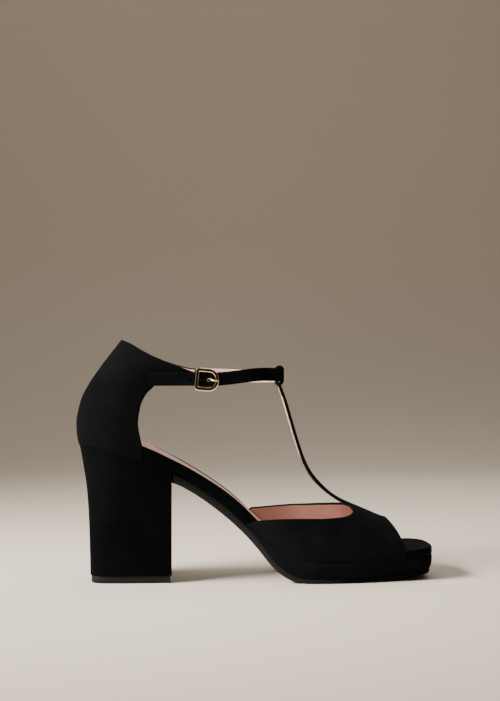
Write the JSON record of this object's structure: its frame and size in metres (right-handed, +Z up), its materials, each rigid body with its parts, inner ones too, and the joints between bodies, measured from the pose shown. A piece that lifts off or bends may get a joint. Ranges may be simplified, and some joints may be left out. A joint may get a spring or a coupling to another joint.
{
  "type": "sandal",
  "caption": "Right T-strap sandal with an open toe, low platform, suede-covered block heel, hollow upper and an ankle strap closed by a small buckle.",
  "frame": {"origin": "on the floor, under the middle of the overall length and width", "axes": "+X towards the toe, -Y towards the outer (lateral) side with the buckle, +Z up"},
  "size_m": [0.2336, 0.0776, 0.156],
  "materials": {
    "suede": "black suede, short nap",
    "wrapped_edge": "black smooth leather, matt",
    "sock_leather": "pale pink leather, soft sheen",
    "outsole": "black sole sheet, low gloss",
    "lift_rubber": "matt black rubber",
    "gilt": "polished pale gold plating"
  },
  "bodies": {
    "root": {"outsole": "outsole", "platform": "suede", "insole": "wrapped_edge", "sock": "sock_leather", "heel_block": "suede", "top_lift": "lift_rubber", "vamp": "suede", "counter": "suede", "ankle_strap": "suede", "buckle_frame": "gilt", "buckle_prong": "gilt"}
  },
  "joints": []
}
